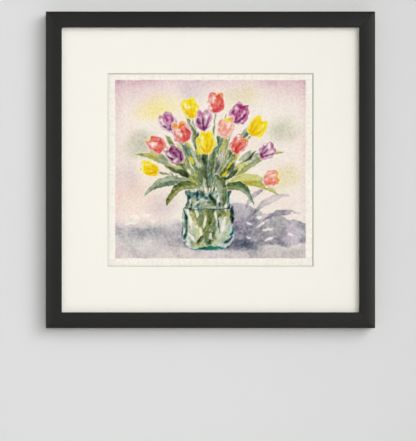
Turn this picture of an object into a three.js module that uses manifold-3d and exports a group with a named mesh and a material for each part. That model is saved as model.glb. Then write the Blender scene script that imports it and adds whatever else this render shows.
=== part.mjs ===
// A framed, matted picture that hangs on a wall by a sawtooth hanger.
// Millimetres. X runs to the right, Z up, and the front faces -Y. The wall is the plane y = 0, and
// the origin is where the wall nail carries the hanger's centre notch.

import * as THREE from 'three';
import { mergeVertices } from 'three/addons/utils/BufferGeometryUtils.js';
import Module from 'manifold-3d';

// ---- Driving dimensions ---------------------------------------------------------------------

const FRAME_WIDTH = 420;
const FRAME_HEIGHT = 404;
const FACE_WIDTH = 20;
const RAIL_DEPTH = 22;
const LIP_THICKNESS = 5.5;
const REBATE_WIDTH = 6;
const FACE_CROWN = 0.5;
const OUTER_ROUNDING = 1.2;
const SIGHT_ROUNDING = 0.7;
const MITRE_CLEARANCE = 0.08;

const MAT_BORDER = 58;
const SHEET_OVERLAP = 14;
const PACKAGE_CLEARANCE = 1.5;
const LAYER_GAP = 0.3;
const GLASS_THICKNESS = 2;
const MAT_THICKNESS = 1.5;
const SHEET_THICKNESS = 0.5;
const TAPE_THICKNESS = 0.2;
const UNDERMOUNT_THICKNESS = 1.5;
const BACK_BOARD_THICKNESS = 3;

const PAD_HEIGHT = 3;
const PAD_RADIUS = 5.5;
const PAD_FROM_SIDE = 26;

const BUTTON_LENGTH = 20;
const BUTTON_WIDTH = 8;
const BUTTON_THICKNESS = 1;
const BUTTON_CLEARANCE = 0.3;

const SCREW_HEAD_RADIUS = 3;
const SCREW_HEAD_HEIGHT = 1.2;
const SCREW_SHANK_RADIUS = 1.4;
const SCREW_LENGTH = 10;
const SCREW_CLEARANCE = 0.25;
const SCREW_SLOT_WIDTH = 0.7;
const SCREW_SLOT_DEPTH = 0.6;

const HANGER_LENGTH = 46;
const HANGER_HEIGHT = 9;
const HANGER_THICKNESS = 0.8;
const HANGER_RISE = 1.2;
const HANGER_FOOT = 8;
const HANGER_RAMP = 3;
const HANGER_FROM_TOP = 2.5;
const TOOTH_PITCH = 2.4;
const TOOTH_DEPTH = 1.6;
const TOOTH_COUNT = 9;
const TACK_HEAD_RADIUS = 2;
const TACK_HEAD_HEIGHT = 0.6;
const TACK_SHANK_RADIUS = 0.7;
const TACK_LENGTH = 9;

const VNAIL_WING = 5;
const VNAIL_THICKNESS = 0.4;
const VNAIL_HEIGHT = 10;
const VNAIL_SUNK = 0.6;
const VNAIL_PLACES = [3.5, 8.5];
const VNAIL_CLEARANCE = 0.15;

const HINGE_TAB_WIDTH = 30;
const HINGE_TAB_ON_SHEET = 8;
const HINGE_TAB_ABOVE = 14;
const FOLD_TAPE_DROP = 12;

const ROUND_SIDES = 24;
const CORNER_STEPS = 4;
const CROWN_STEPS = 12;
const CUT_THROUGH = 1;

// ---- Worked out from them -------------------------------------------------------------------

const BACK_Y = -PAD_HEIGHT;
const FRONT_Y = BACK_Y - RAIL_DEPTH;
const RAIL_BACK_WIDTH = FACE_WIDTH - REBATE_WIDTH;
const RAIL_MIDDLE = RAIL_BACK_WIDTH / 2;
const NOTCH_FROM_TOP = HANGER_FROM_TOP + HANGER_HEIGHT - TOOTH_DEPTH;
const CENTRE_Z = NOTCH_FROM_TOP - FRAME_HEIGHT / 2;

const WINDOW_WIDTH = FRAME_WIDTH - 2 * (FACE_WIDTH + MAT_BORDER);
const WINDOW_HEIGHT = FRAME_HEIGHT - 2 * (FACE_WIDTH + MAT_BORDER);
const SHEET_WIDTH = WINDOW_WIDTH + 2 * SHEET_OVERLAP;
const SHEET_HEIGHT = WINDOW_HEIGHT + 2 * SHEET_OVERLAP;
const PACKAGE_WIDTH = FRAME_WIDTH - 2 * (RAIL_BACK_WIDTH + PACKAGE_CLEARANCE);
const PACKAGE_HEIGHT = FRAME_HEIGHT - 2 * (RAIL_BACK_WIDTH + PACKAGE_CLEARANCE);

// Each layer's front face, as a distance behind the frame's face.
const GLASS_AT = LIP_THICKNESS + LAYER_GAP;
const MAT_AT = GLASS_AT + GLASS_THICKNESS + LAYER_GAP;
const SHEET_AT = MAT_AT + MAT_THICKNESS + LAYER_GAP;
const UNDERMOUNT_AT = SHEET_AT + SHEET_THICKNESS + TAPE_THICKNESS + LAYER_GAP;
const FILLER_AT = UNDERMOUNT_AT + UNDERMOUNT_THICKNESS + LAYER_GAP;
const BACK_BOARD_AT = RAIL_DEPTH - BACK_BOARD_THICKNESS;
const FILLER_THICKNESS = BACK_BOARD_AT - LAYER_GAP - FILLER_AT;

// ---- Materials ------------------------------------------------------------------------------

function finish(color, roughness, metalness = 0) {
  return new THREE.MeshStandardMaterial({ color, roughness, metalness });
}

const satinBlack = () => finish(0x2f2e2c, 0.5);
const creamBoard = () => finish(0xf4f1e8, 0.9);
const ragPaper = () => finish(0xf1ede3, 0.95);
const gummedPaper = () => finish(0xe4dcc8, 0.9);
const foamBoard = () => finish(0xf3f2ee, 0.85);
const hardboard = () => finish(0x7a5636, 0.75);
const zincPlate = () => finish(0xb9bbbd, 0.35, 1);
const bareSteel = () => finish(0x8d9094, 0.4, 1);
const blackRubber = () => finish(0x1e1e1f, 0.9);

function glass() {
  const pane = finish(0xeef4f2, 0.05);
  pane.transparent = true;
  pane.opacity = 0.15;
  return pane;
}

// ---- Solids: joins and cuts -----------------------------------------------------------------

const wasm = await Module();
wasm.setup();

function toSolid(geometry) {
  const bare = geometry.clone();
  bare.deleteAttribute('normal');
  bare.deleteAttribute('uv');
  const merged = mergeVertices(bare);
  return new wasm.Manifold(new wasm.Mesh({
    numProp: 3,
    vertProperties: new Float32Array(merged.attributes.position.array),
    triVerts: new Uint32Array(merged.index.array),
  }));
}

function toGeometry(solid) {
  const mesh = solid.getMesh();
  const geometry = new THREE.BufferGeometry();
  geometry.setAttribute('position', new THREE.BufferAttribute(mesh.vertProperties, 3));
  geometry.setIndex(new THREE.BufferAttribute(mesh.triVerts, 1));
  geometry.computeVertexNormals();
  return geometry;
}

function cut(geometry, cutters) {
  const whole = toSolid(geometry);
  const left = cutters.reduce((solid, cutter) => solid.subtract(toSolid(cutter)), whole);
  return toGeometry(left);
}

// ---- Shared shapes --------------------------------------------------------------------------

// A slab that lies flat in the frame: its outline is in X and Z, and it fills y from front to back.
function slab(shape, front, back) {
  const geometry = new THREE.ExtrudeGeometry(shape, {
    depth: back - front,
    bevelEnabled: false,
    curveSegments: ROUND_SIDES / 2,
  });
  geometry.rotateX(Math.PI / 2);
  geometry.translate(0, back, 0);
  return geometry;
}

function board(width, height, front, thickness) {
  const geometry = new THREE.BoxGeometry(width, thickness, height);
  geometry.translate(0, front + thickness / 2, 0);
  return geometry;
}

// A turned piece on the Y axis from [radius, y] pairs that start and end on the axis.
function turned(profile) {
  const points = profile.map(([radius, y]) => new THREE.Vector2(radius, y));
  return new THREE.LatheGeometry(points, ROUND_SIDES);
}

function outline(points) {
  return new THREE.Shape(points.map(([x, z]) => new THREE.Vector2(x, z)));
}

function peg(radius, front, back) {
  return turned([[0, front], [radius, front], [radius, back], [0, back]]);
}

const picture = new THREE.Group();
picture.position.z = CENTRE_Z;

function place(name, geometry, material, x = 0, z = 0, turn = 0) {
  const mesh = new THREE.Mesh(geometry, material);
  mesh.name = name;
  mesh.position.set(x, 0, z);
  mesh.rotation.y = turn;
  picture.add(mesh);
  return mesh;
}

// ---- Places of the hardware -----------------------------------------------------------------

const CORNERS = [
  ['top_left', -1, 1],
  ['top_right', 1, 1],
  ['bottom_left', -1, -1],
  ['bottom_right', 1, -1],
];

// Each button: its name, its screw's place, and the turn that points it at the back board.
const RAIL_X = FRAME_WIDTH / 2 - RAIL_MIDDLE;
const RAIL_Z = FRAME_HEIGHT / 2 - RAIL_MIDDLE;
const BUTTONS = [
  ['top_left', -FRAME_WIDTH / 4, RAIL_Z, Math.PI / 2],
  ['top_right', FRAME_WIDTH / 4, RAIL_Z, Math.PI / 2],
  ['bottom_left', -FRAME_WIDTH / 4, -RAIL_Z, -Math.PI / 2],
  ['bottom_right', FRAME_WIDTH / 4, -RAIL_Z, -Math.PI / 2],
  ['left_upper', -RAIL_X, FRAME_HEIGHT / 4, 0],
  ['left_lower', -RAIL_X, -FRAME_HEIGHT / 4, 0],
  ['right_upper', RAIL_X, FRAME_HEIGHT / 4, Math.PI],
  ['right_lower', RAIL_X, -FRAME_HEIGHT / 4, Math.PI],
];

const TACK_X = HANGER_LENGTH / 2 - HANGER_FOOT / 2;
const HANGER_Z = FRAME_HEIGHT / 2 - HANGER_FROM_TOP - HANGER_HEIGHT / 2;

// ---- Frame rails ----------------------------------------------------------------------------

// The moulding's section: x is the distance in from the outer edge, y the distance behind the face.
// Its face is slightly crowned between the two rounded edges.
function mouldingSection() {
  const section = new THREE.Shape();
  const outer = OUTER_ROUNDING;
  const sight = FACE_WIDTH - SIGHT_ROUNDING;
  section.moveTo(0, RAIL_DEPTH);
  section.lineTo(0, FACE_CROWN + OUTER_ROUNDING);
  section.absarc(
    outer, FACE_CROWN + OUTER_ROUNDING, OUTER_ROUNDING, Math.PI, Math.PI * 1.5, false,
  );
  for (let i = 1; i <= CROWN_STEPS; i += 1) {
    const across = (2 * i) / CROWN_STEPS - 1;
    const x = (outer + sight) / 2 + (across * (sight - outer)) / 2;
    section.lineTo(x, FACE_CROWN * across ** 2);
  }
  section.absarc(
    sight, FACE_CROWN + SIGHT_ROUNDING, SIGHT_ROUNDING, Math.PI * 1.5, Math.PI * 2, false,
  );
  section.lineTo(FACE_WIDTH, LIP_THICKNESS);
  section.lineTo(RAIL_BACK_WIDTH, LIP_THICKNESS);
  section.lineTo(RAIL_BACK_WIDTH, RAIL_DEPTH);
  section.closePath();
  return section;
}

// A length of moulding along X with its outer edge up and both ends cut at 45 degrees.
function mitredLength(length) {
  const geometry = new THREE.ExtrudeGeometry(mouldingSection(), {
    depth: 1,
    bevelEnabled: false,
    curveSegments: CORNER_STEPS,
  });
  const position = geometry.attributes.position;
  for (let i = 0; i < position.count; i += 1) {
    const inwards = position.getX(i);
    const behind = position.getY(i);
    const end = position.getZ(i) > 0.5 ? 1 : -1;
    const reach = length / 2 - inwards - MITRE_CLEARANCE;
    position.setXYZ(i, end * reach, FRONT_Y + behind, -inwards);
  }
  return geometry;
}

function vnailOutline(sideX, sideZ, margin) {
  const outer = -margin;
  const inner = VNAIL_THICKNESS + margin;
  const tip = VNAIL_WING + margin;
  const points = [
    [outer, outer], [tip, outer], [tip, inner], [inner, inner], [inner, tip], [outer, tip],
  ].map(([x, z]) => [-sideX * x, -sideZ * z]);
  return outline(points);
}

// A V-shaped nail across a mitre, or with a margin the slot that it sits in.
function vnailBody(sideX, sideZ, fromEdge, back, margin) {
  const front = BACK_Y - VNAIL_SUNK - VNAIL_HEIGHT - margin;
  const geometry = slab(vnailOutline(sideX, sideZ, margin), front, back);
  geometry.translate(
    sideX * (FRAME_WIDTH / 2 - fromEdge), 0, sideZ * (FRAME_HEIGHT / 2 - fromEdge),
  );
  return geometry;
}

function vnailSlots() {
  return CORNERS.flatMap(([, sideX, sideZ]) => (
    VNAIL_PLACES.map((fromEdge) => (
      vnailBody(sideX, sideZ, fromEdge, BACK_Y + CUT_THROUGH, VNAIL_CLEARANCE)
    ))
  ));
}

function pilotHole(radius, length, x, z) {
  const hole = peg(radius + SCREW_CLEARANCE, BACK_Y - length, BACK_Y + CUT_THROUGH);
  hole.translate(x, 0, z);
  return hole;
}

function buttonHoles() {
  return BUTTONS.map(([, x, z]) => pilotHole(SCREW_SHANK_RADIUS, SCREW_LENGTH, x, z));
}

function tackHoles() {
  return [-TACK_X, TACK_X].map((x) => pilotHole(TACK_SHANK_RADIUS, TACK_LENGTH, x, HANGER_Z));
}

function addRails() {
  const holes = [...vnailSlots(), ...buttonHoles(), ...tackHoles()];
  const rails = [
    ['top_rail', FRAME_WIDTH, FRAME_HEIGHT, 0],
    ['right_rail', FRAME_HEIGHT, FRAME_WIDTH, Math.PI / 2],
    ['bottom_rail', FRAME_WIDTH, FRAME_HEIGHT, Math.PI],
    ['left_rail', FRAME_HEIGHT, FRAME_WIDTH, -Math.PI / 2],
  ];
  for (const [name, length, across, turn] of rails) {
    const rail = mitredLength(length);
    rail.translate(0, 0, across / 2);
    rail.rotateY(turn);
    place(name, cut(rail, holes), satinBlack());
  }
}

function addVnails() {
  for (const [corner, sideX, sideZ] of CORNERS) {
    VNAIL_PLACES.forEach((fromEdge, i) => {
      const order = i === 0 ? 'outer' : 'inner';
      const nail = vnailBody(sideX, sideZ, fromEdge, BACK_Y - VNAIL_SUNK, 0);
      place(`v_nail_${corner}_${order}`, nail, bareSteel());
    });
  }
}

// ---- The package: glass, mat, sheet and boards ----------------------------------------------

// The window's 45 degree bevel opens towards the glass, so the cutter widens towards the front.
function windowCutter() {
  const flare = MAT_THICKNESS + CUT_THROUGH;
  const cutter = new THREE.BoxGeometry(1, 1, 1);
  const position = cutter.attributes.position;
  for (let i = 0; i < position.count; i += 1) {
    const isFront = position.getY(i) < 0;
    const grow = isFront ? flare : -CUT_THROUGH;
    const x = Math.sign(position.getX(i)) * (WINDOW_WIDTH / 2 - MAT_THICKNESS + grow);
    const z = Math.sign(position.getZ(i)) * (WINDOW_HEIGHT / 2 - MAT_THICKNESS + grow);
    const behind = isFront ? MAT_AT - CUT_THROUGH : MAT_AT + MAT_THICKNESS + CUT_THROUGH;
    position.setXYZ(i, x, FRONT_Y + behind, z);
  }
  return cutter;
}

function addPackage() {
  const full = (thickness, at) => board(PACKAGE_WIDTH, PACKAGE_HEIGHT, FRONT_Y + at, thickness);
  place('glazing', full(GLASS_THICKNESS, GLASS_AT), glass());
  place('window_mat', cut(full(MAT_THICKNESS, MAT_AT), [windowCutter()]), creamBoard());
  place(
    'artwork_sheet', board(SHEET_WIDTH, SHEET_HEIGHT, FRONT_Y + SHEET_AT, SHEET_THICKNESS), ragPaper(),
  );
  place('undermount', full(UNDERMOUNT_THICKNESS, UNDERMOUNT_AT), creamBoard());
  place('filler_board', full(FILLER_THICKNESS, FILLER_AT), foamBoard());
  place('back_board', full(BACK_BOARD_THICKNESS, BACK_BOARD_AT), hardboard());
}

// Paper tabs that hang the sheet: stuck to its back and to the undermount above it.
function addHingeTabs() {
  const front = FRONT_Y + SHEET_AT + SHEET_THICKNESS + LAYER_GAP / 2;
  const height = HINGE_TAB_ON_SHEET + HINGE_TAB_ABOVE;
  const z = SHEET_HEIGHT / 2 - HINGE_TAB_ON_SHEET + height / 2;
  for (const [side, x] of [['left', -SHEET_WIDTH / 4], ['right', SHEET_WIDTH / 4]]) {
    const tab = board(HINGE_TAB_WIDTH, height, front, TAPE_THICKNESS);
    place(`hinge_tab_${side}`, tab, gummedPaper(), x, z);
  }
}

// A gummed strip folded along the top, which joins the mat's back to the undermount's front.
function addFoldTape() {
  const front = FRONT_Y + MAT_AT + MAT_THICKNESS + LAYER_GAP / 2;
  const back = FRONT_Y + UNDERMOUNT_AT - LAYER_GAP / 2;
  const top = PACKAGE_HEIGHT / 2 - LAYER_GAP;
  const low = top - FOLD_TAPE_DROP;
  const fold = outline([
    [front, low], [front + TAPE_THICKNESS, low], [front + TAPE_THICKNESS, top - TAPE_THICKNESS],
    [back - TAPE_THICKNESS, top - TAPE_THICKNESS], [back - TAPE_THICKNESS, low], [back, low],
    [back, top], [front, top],
  ]);
  const geometry = new THREE.ExtrudeGeometry(fold, { depth: WINDOW_WIDTH, bevelEnabled: false });
  geometry.translate(0, 0, -WINDOW_WIDTH / 2);
  const position = geometry.attributes.position;
  for (let i = 0; i < position.count; i += 1) {
    position.setXYZ(i, position.getZ(i), position.getX(i), position.getY(i));
  }
  place('fold_tape', geometry, gummedPaper());
}

// ---- Hardware on the back -------------------------------------------------------------------

function buttonOutline() {
  const radius = BUTTON_WIDTH / 2;
  const far = BUTTON_LENGTH - BUTTON_WIDTH;
  const shape = new THREE.Shape();
  shape.absarc(0, 0, radius, Math.PI / 2, Math.PI * 1.5, false);
  shape.absarc(far, 0, radius, Math.PI * 1.5, Math.PI * 2.5, false);
  shape.closePath();
  const hole = new THREE.Path();
  hole.absarc(0, 0, SCREW_SHANK_RADIUS + SCREW_CLEARANCE, 0, Math.PI * 2, true);
  shape.holes.push(hole);
  return shape;
}

function screwBody() {
  const underHead = BACK_Y + 2 * BUTTON_CLEARANCE + BUTTON_THICKNESS;
  const top = underHead + SCREW_HEAD_HEIGHT;
  const tip = BACK_Y - SCREW_LENGTH + SCREW_CLEARANCE;
  const screw = turned([
    [0, tip],
    [SCREW_SHANK_RADIUS, tip + 2 * SCREW_SHANK_RADIUS],
    [SCREW_SHANK_RADIUS, underHead],
    [SCREW_HEAD_RADIUS, underHead],
    [SCREW_HEAD_RADIUS, top - SCREW_HEAD_HEIGHT / 2],
    [SCREW_HEAD_RADIUS * 0.7, top],
    [0, top],
  ]);
  const arm = SCREW_HEAD_RADIUS;
  const slots = [[arm, SCREW_SLOT_WIDTH], [SCREW_SLOT_WIDTH, arm]].map(([width, height]) => (
    board(width, height, top - SCREW_SLOT_DEPTH, SCREW_SLOT_DEPTH + CUT_THROUGH)
  ));
  return cut(screw, slots);
}

function addButtons() {
  const front = BACK_Y + BUTTON_CLEARANCE;
  for (const [where, x, z, turn] of BUTTONS) {
    const body = slab(buttonOutline(), front, front + BUTTON_THICKNESS);
    place(`turn_button_${where}`, body, zincPlate(), x, z, turn);
    place(`button_screw_${where}`, screwBody(), zincPlate(), x, z);
  }
}

// The strip seen from below: flat feet on the rail, and a raised middle that clears the nail's head.
function hangerStrip() {
  const end = HANGER_LENGTH / 2;
  const foot = end - HANGER_FOOT;
  const raised = foot - HANGER_RAMP;
  const low = BACK_Y + LAYER_GAP / 2;
  const high = low + HANGER_RISE;
  const underside = [[-end, low], [-foot, low], [-raised, high], [raised, high], [foot, low], [end, low]];
  const topside = underside.map(([x, y]) => [x, y + HANGER_THICKNESS]).reverse();
  const geometry = new THREE.ExtrudeGeometry(outline([...underside, ...topside]), {
    depth: HANGER_HEIGHT,
    bevelEnabled: false,
  });
  geometry.translate(0, 0, -HANGER_HEIGHT / 2);
  return geometry;
}

function toothCutter() {
  const points = [];
  for (let i = 0; i < TOOTH_COUNT; i += 1) {
    const middle = (i - (TOOTH_COUNT - 1) / 2) * TOOTH_PITCH;
    points.push([middle - TOOTH_PITCH / 2, 0], [middle, TOOTH_DEPTH]);
  }
  const right = TOOTH_COUNT * TOOTH_PITCH / 2;
  points.push([right, 0], [right, -CUT_THROUGH], [-right, -CUT_THROUGH]);
  const cutter = slab(outline(points), BACK_Y, CUT_THROUGH);
  cutter.translate(0, 0, -HANGER_HEIGHT / 2);
  return cutter;
}

function addHanger() {
  const holes = [-TACK_X, TACK_X].map((x) => {
    const hole = peg(TACK_SHANK_RADIUS + SCREW_CLEARANCE, BACK_Y, 0);
    hole.translate(x, 0, 0);
    return hole;
  });
  const strip = cut(hangerStrip(), [toothCutter(), ...holes]);
  place('sawtooth_hanger', strip, zincPlate(), 0, HANGER_Z);

  const underHead = BACK_Y + LAYER_GAP + HANGER_THICKNESS;
  const tip = BACK_Y - TACK_LENGTH + SCREW_CLEARANCE;
  for (const [side, x] of [['left', -TACK_X], ['right', TACK_X]]) {
    const tack = turned([
      [0, tip],
      [TACK_SHANK_RADIUS, tip + 2 * TACK_SHANK_RADIUS],
      [TACK_SHANK_RADIUS, underHead],
      [TACK_HEAD_RADIUS, underHead],
      [TACK_HEAD_RADIUS, underHead + TACK_HEAD_HEIGHT / 2],
      [TACK_HEAD_RADIUS / 2, underHead + TACK_HEAD_HEIGHT],
      [0, underHead + TACK_HEAD_HEIGHT],
    ]);
    place(`hanger_tack_${side}`, tack, bareSteel(), x, HANGER_Z);
  }
}

function addPads() {
  const foot = BACK_Y + LAYER_GAP / 2;
  const shoulder = -PAD_HEIGHT / 3;
  for (const [side, sign] of [['left', -1], ['right', 1]]) {
    const pad = turned([
      [0, foot],
      [PAD_RADIUS, foot],
      [PAD_RADIUS, shoulder],
      [PAD_RADIUS + shoulder, 0],
      [0, 0],
    ]);
    place(`wall_pad_${side}`, pad, blackRubber(), sign * (FRAME_WIDTH / 2 - PAD_FROM_SIDE), -RAIL_Z);
  }
}

addRails();
addVnails();
addPackage();
addHingeTabs();
addFoldTape();
addButtons();
addHanger();
addPads();

const framedPicture = new THREE.Group();
framedPicture.add(picture);

export default framedPicture;
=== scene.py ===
"""A framed, matted watercolour in a satin black frame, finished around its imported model."""

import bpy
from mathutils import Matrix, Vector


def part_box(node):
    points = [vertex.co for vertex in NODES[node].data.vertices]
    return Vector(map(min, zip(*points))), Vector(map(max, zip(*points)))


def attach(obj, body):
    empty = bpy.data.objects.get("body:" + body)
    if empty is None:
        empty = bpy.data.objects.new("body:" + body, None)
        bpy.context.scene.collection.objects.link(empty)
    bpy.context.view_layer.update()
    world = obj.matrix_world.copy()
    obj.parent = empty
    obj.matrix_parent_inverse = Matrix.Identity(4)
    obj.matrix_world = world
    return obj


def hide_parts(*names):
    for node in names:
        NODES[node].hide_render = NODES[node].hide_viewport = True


bl_info = {
    "name": "Framed Picture",
    "version": (1, 0, 0),
    "blender": (4, 5, 0),
    "location": "View3D > Sidebar > Picture",
    "description": "Finishes a framed watercolour: rails, glass, mat, painting and fittings",
    "category": "Object",
}

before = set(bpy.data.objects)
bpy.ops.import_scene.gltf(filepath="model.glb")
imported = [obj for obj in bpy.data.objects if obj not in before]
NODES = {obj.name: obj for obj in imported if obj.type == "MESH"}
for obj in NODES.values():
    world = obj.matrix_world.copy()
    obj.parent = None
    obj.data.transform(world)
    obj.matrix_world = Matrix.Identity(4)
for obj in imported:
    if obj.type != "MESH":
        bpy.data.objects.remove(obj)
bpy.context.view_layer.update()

import math

import bpy
import numpy as np
from mathutils import Vector

MM = 0.001

RAILS = ("top_rail", "right_rail", "bottom_rail", "left_rail")
BUTTON_PLACES = sorted(n[len("turn_button_"):] for n in NODES if n.startswith("turn_button_"))
VNAILS = sorted(n for n in NODES if n.startswith("v_nail_"))

# The frame's outer corners, its middle, and its face and back planes.
FRAME_LOW = Vector(map(min, *(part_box(n)[0] for n in RAILS)))
FRAME_HIGH = Vector(map(max, *(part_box(n)[1] for n in RAILS)))
CENTRE = (FRAME_LOW + FRAME_HIGH) / 2
FACE_Y, BACK_Y = FRAME_LOW.y, FRAME_HIGH.y


# ---- Watercolour ------------------------------------------------------------------------------

KNOTS = 97
# The paper's tooth: grains across the painted width, and how far they stir the colour.
TOOTH_GRAINS = 95
TOOTH_IN_PIGMENT = 0.50
TOOTH_IN_LIGHT = 0.055


def smooth(low, high, value):
    """0 below low, 1 above high, and eased between."""
    t = np.clip((value - low) / (high - low), 0, 1)
    return t * t * (3 - 2 * t)


def lattice(x, y, cells, seed):
    """Smooth random values from 0 to 1, with one knot to a cell."""
    knots = np.random.default_rng(seed).random((KNOTS, KNOTS))
    i, j = np.floor(x * cells).astype(int), np.floor(y * cells).astype(int)
    u, v = smooth(0, 1, x * cells - i), smooth(0, 1, y * cells - j)
    a, b = i % KNOTS, j % KNOTS
    c, d = (i + 1) % KNOTS, (j + 1) % KNOTS
    low = knots[a, b] * (1 - u) + knots[c, b] * u
    top = knots[a, d] * (1 - u) + knots[c, d] * u
    return low * (1 - v) + top * v


def cloud(x, y, cells, seed, octaves=3):
    """Layers of lattice noise, from 0 to 1 with a mean of a half."""
    shares = [0.5**i for i in range(octaves)]
    layers = [s * lattice(x, y, cells * 2**i, seed + i) for i, s in enumerate(shares)]
    return sum(layers) / sum(shares)


def absorbed(red, green, blue):
    """How strongly one full layer of a pigment absorbs, from its look on white paper."""
    return -np.log(np.clip((np.array([red, green, blue]) / 255) ** 2.2, 1e-3, 1))


PIGMENTS = {
    "mauve": absorbed(214, 178, 204),
    "blush": absorbed(247, 220, 212),
    "lilac": absorbed(196, 190, 214),
    "shadow": absorbed(134, 138, 154),
    "indigo": absorbed(52, 62, 88),
    "lemon": absorbed(252, 234, 44),
    "ochre": absorbed(240, 190, 70),
    "sienna": absorbed(204, 140, 88),
    "coral": absorbed(242, 148, 134),
    "rose": absorbed(226, 120, 140),
    "magenta": absorbed(184, 82, 146),
    "orchid": absorbed(186, 132, 172),
    "plum": absorbed(116, 62, 112),
    "lime": absorbed(206, 206, 112),
    "olive": absorbed(142, 146, 84),
    "sage": absorbed(150, 164, 136),
    "sap": absorbed(104, 124, 72),
    "sea": absorbed(96, 132, 122),
    "forest": absorbed(54, 68, 48),
    "teal": absorbed(30, 136, 128),
    "deep_blue": absorbed(44, 86, 120),
    "aqua": absorbed(188, 214, 206),
}


class Painting:
    """A sheet of cold-pressed paper and the pigment on it. x runs from 0 to 1, y from 0 upwards."""

    def __init__(self, x, y, height):
        self.x, self.y, self.height = x, y, height
        self.load = np.zeros((*x.shape, 3))
        self.tooth = cloud(x + 0.35 * y + 1, y - 0.2 * x + 1, TOOTH_GRAINS, 11, 2) * 2 - 1
        self.hand_x = self.wobbled(x, 21)
        self.hand_y = self.wobbled(y, 31)
        self.drifts = [cloud(x + 1, y + 1, 11, seed) for seed in (101, 111, 121)]
        self.mixes = [cloud(x + 1, y + 1, 15, seed) for seed in (131, 141)]
        self.dries = [cloud(x + 1, y + 1, 42, seed, 2) for seed in (151, 161)]
        self.strokes = 0

    def wobbled(self, line, seed):
        """A coordinate as an unsteady hand follows it."""
        x, y = self.x + 1, self.y + 1
        wander = 0.012 * (cloud(x, y, 16, seed) - 0.5)
        tremor = 0.007 * (lattice(x, y, 52, seed + 4) - 0.5)
        tremor = tremor + 0.003 * (lattice(x, y, 96, seed + 5) - 0.5)
        return line + wander + tremor

    def chance(self, fields):
        """One of the ready clouds, turned over in a way that changes with each stroke."""
        field = fields[self.strokes % len(fields)]
        return field[:: 1 - self.strokes // 2 % 2 * 2, :: 1 - self.strokes // 3 % 2 * 2]

    def lay(self, inside, pigment, strength, soft=0.002, rim=0.35, flow=0.35, dropped=None, gaps=0):
        """One stroke of wet colour. inside is the distance in from its edge, negative outside.
        dropped is a second pigment let in while it is wet; gaps is how far the brush runs dry."""
        self.strokes += 1
        cover = smooth(-soft, soft, inside)
        rim_width = max(2 * soft, 0.003)
        pooled = 1 + rim * np.exp(-(((inside - rim_width) / rim_width) ** 2))
        drift = 1 + flow * 2 * (self.chance(self.drifts) - 0.5)
        if gaps:
            cover = cover * smooth(gaps - 0.06, gaps + 0.06, self.chance(self.dries))
        grain = 1 + TOOTH_IN_PIGMENT * self.tooth
        amount = (strength * cover * pooled * drift * grain)[..., None]
        tint = PIGMENTS[pigment]
        if dropped:
            let_in = smooth(0.38, 0.62, self.chance(self.mixes))[..., None]
            tint = tint * (1 - let_in) + PIGMENTS[dropped] * let_in
        self.load += amount * tint

    def lift(self, inside, share, soft=0.002):
        """Paper kept dry or wiped clean."""
        self.load *= (1 - share * smooth(-soft, soft, inside))[..., None]

    def colours(self, paper):
        """What shows: the taped border stays bare, and colour pools a little along the tape."""
        x, y = self.x, self.y
        border = np.minimum(np.minimum(x, 1 - x), np.minimum(y, self.height - y))
        border = border + 0.0016 * (cloud(x + 1, y + 1, 30, 5, 2) - 0.5)
        pooled = 1 + 0.40 * np.exp(-((border / 0.0035) ** 2))
        load = self.load * (smooth(-0.0012, 0.0012, border) * pooled)[..., None]
        shown = np.asarray(paper) * np.exp(-load)
        return shown * (1 + TOOTH_IN_LIGHT * self.tooth)[..., None]


# ---- Shapes: each gives the distance in from its edge over the whole sheet ----


def local(sheet, at, turn):
    """Coordinates along and across a stroke that starts at a point and points at an angle."""
    dx, dy = sheet.hand_x - at[0], sheet.hand_y - at[1]
    c, s = np.cos(turn), np.sin(turn)
    return dx * c + dy * s, dy * c - dx * s


def oval(sheet, at, along, across, turn=0.0):
    """An oval around a place, with half its length along its turn and half across it."""
    u, v = local(sheet, at, turn)
    r = np.hypot(u / along, v / across)
    return (1 - r) * min(along, across)


def petal(sheet, base, turn, length, width, lean=0.0, point=0.85):
    """A petal from its base, with a rounded foot and a tip that leans to one side."""
    u, v = local(sheet, base, turn)
    t = np.clip(u / length, 0, 1)
    half = width * np.sin(np.pi * t**point) ** 0.62
    middle = lean * length * t**1.6
    inside = half - np.abs(v - middle)
    ends = np.minimum(u, length - u)
    return np.minimum(inside, ends * 1.2)


def rounded_corner(a, b, sharpness=45):
    """The smaller of two distances, eased where they meet."""
    a, b = np.clip(a, -0.3, 0.3), np.clip(b, -0.3, 0.3)
    return -np.log(np.exp(-sharpness * a) + np.exp(-sharpness * b)) / sharpness


def curve(start, bend, end, steps=12):
    """Places along a line from start to end that leans towards the bend."""
    t = np.linspace(0, 1, steps + 1)[:, None]
    start, bend, end = map(np.asarray, (start, bend, end))
    return (1 - t) ** 2 * start + 2 * t * (1 - t) * bend + t**2 * end


def along_curve(sheet, points):
    """Each place's distance from a curve, how far along it lies, and its side."""
    x, y = sheet.hand_x, sheet.hand_y
    best = np.full(x.shape, 9.0)
    share, side = np.zeros(x.shape), np.zeros(x.shape)
    count = len(points) - 1
    for i in range(count):
        ax, ay = points[i]
        dx, dy = points[i + 1] - points[i]
        t = np.clip(((x - ax) * dx + (y - ay) * dy) / (dx * dx + dy * dy), 0, 1)
        px, py = x - ax - t * dx, y - ay - t * dy
        d = np.hypot(px, py)
        near = d < best
        best = np.where(near, d, best)
        share = np.where(near, (i + t) / count, share)
        side = np.where(near, np.sign(dx * py - dy * px), side)
    return best, share, side


# ---- The picture ----

# Each kind of tulip: its petals' two pigments, its folds' pigment, how strongly petals and folds
# are laid, and its tip's pigment.
TULIPS = {
    "yellow": ("lemon", "lemon", "ochre", 0.95, 0.46, "lemon"),
    "orchid": ("orchid", "magenta", "plum", 0.50, 0.44, "orchid"),
    "magenta": ("magenta", "orchid", "plum", 0.86, 0.60, "magenta"),
    "coral": ("coral", "rose", "rose", 0.84, 0.40, "ochre"),
    "apricot": ("coral", "blush", "coral", 0.62, 0.34, "lemon"),
}


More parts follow.
